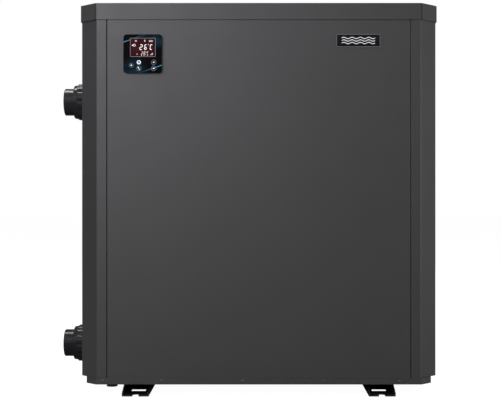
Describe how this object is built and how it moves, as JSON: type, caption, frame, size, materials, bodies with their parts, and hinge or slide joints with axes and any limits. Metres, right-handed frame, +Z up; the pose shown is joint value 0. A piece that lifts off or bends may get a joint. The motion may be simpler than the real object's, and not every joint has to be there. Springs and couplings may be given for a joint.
{
  "type": "pool heat pump unit",
  "caption": "Square swimming-pool heat pump with cut corners, a roof fan under a wire guard, a front touch display, side water unions and foot rails.",
  "frame": {"origin": "on the floor, at the middle of the whole unit's box", "axes": "+Z up, -Y out of the front wall that holds the display, -X out of the water unions"},
  "size_m": [0.8724, 0.8058, 0.9118],
  "materials": {
    "casing": "anthracite satin powder coat",
    "black_paint": "black powder coat",
    "galvanised": "zinc-coated sheet",
    "fins": "pale blue water-shedding fins",
    "copper": "bare copper, slightly tarnished",
    "brass": "machined brass",
    "titanium": "bare titanium",
    "union_plastic": "glossy black moulding",
    "black_plastic": "satin black moulding",
    "rubber": "matt black rubber",
    "grey_pvc": "dark grey pressure pipe",
    "fan_plastic": "glass-filled moulding",
    "circuit_board": "green solder mask",
    "display_face": "polished black touch face",
    "nameplate": "glossy black plate with a silver edge"
  },
  "bodies": {
    "cabinet": {"left_foot_rail": "black_paint", "right_foot_rail": "black_paint", "base_pan": "casing", "drain_spigot": "black_plastic", "front_right_post": "casing", "front_panel": "casing", "rear_right_post": "casing", "right_service_panel": "casing", "right_grille": "casing", "rear_left_post": "casing", "back_grille": "casing", "front_left_post": "casing", "left_service_panel": "casing", "left_grille": "casing", "cable_gland": "black_plastic", "lid": "casing", "fan_motor": "galvanised", "motor_bracket": "galvanised", "fan_shroud": "galvanised", "fan_guard": "black_paint", "display_gasket": "rubber", "display_housing": "black_plastic", "display_glass": "display_face", "nameplate": "nameplate", "upper_port_stub": "grey_pvc", "upper_port_grommet": "rubber", "upper_o_ring": "rubber", "lower_port_stub": "grey_pvc", "lower_port_grommet": "rubber", "lower_o_ring": "rubber", "flow_switch": "black_plastic", "exchanger_shell": "grey_pvc", "exchanger_bottom_cap": "grey_pvc", "exchanger_top_cap": "grey_pvc", "titanium_coil": "titanium", "compressor_plate": "black_paint", "compressor_grommet_1": "rubber", "compressor_grommet_2": "rubber", "compressor_grommet_3": "rubber", "compressor": "black_paint", "accumulator": "black_paint", "reversing_valve": "brass", "discharge_pipe": "copper", "suction_pipe": "copper", "exchanger_gas_pipe": "copper", "coil_gas_pipe": "copper", "liquid_pipe": "copper", "expansion_valve": "brass", "evaporator_coil": "fins", "partition": "galvanised", "electrical_box": "galvanised", "electrical_cover": "galvanised", "inverter_board": "circuit_board"},
    "fan": {"fan_rotor": "fan_plastic", "fan_shaft": "galvanised"},
    "upper_tail": {"upper_union_tail": "union_plastic"},
    "upper_nut": {"upper_union_nut": "union_plastic"},
    "lower_tail": {"lower_union_tail": "union_plastic"},
    "lower_nut": {"lower_union_nut": "union_plastic"},
    "paddle": {"flow_paddle": "brass"}
  },
  "joints": [
    {"name": "fan_spin", "type": "hinge", "parent": "cabinet", "child": "fan", "pos_m": [0.0232, 0.00195, 0.802], "axis": [0, 0, 1], "continuous": true},
    {"name": "upper_nut_turn", "type": "hinge", "parent": "upper_tail", "child": "upper_nut", "pos_m": [-0.3958, -0.22155, 0.6687], "axis": [-1, 0, 0], "range_deg": [0, 1620]},
    {"name": "upper_tail_slide", "type": "slide", "parent": "cabinet", "child": "upper_tail", "axis": [-1, 0, 0], "range_m": [0, 0.0181]},
    {"name": "lower_nut_turn", "type": "hinge", "parent": "lower_tail", "child": "lower_nut", "pos_m": [-0.3958, -0.22155, 0.0976], "axis": [-1, 0, 0], "range_deg": [0, 1620]},
    {"name": "lower_tail_slide", "type": "slide", "parent": "cabinet", "child": "lower_tail", "axis": [-1, 0, 0], "range_m": [0, 0.0181]},
    {"name": "paddle_swing", "type": "hinge", "parent": "cabinet", "child": "paddle", "pos_m": [-0.3418, -0.22155, 0.1216], "axis": [0, -1, 0], "range_deg": [0, 35], "stiffness_Nm_per_rad": 0.004}
  ],
  "couplings": [
    {"joint": "upper_tail_slide", "follows": "upper_nut_turn", "m_per_rad": 0.00063662},
    {"joint": "lower_tail_slide", "follows": "lower_nut_turn", "m_per_rad": 0.00063662}
  ]
}
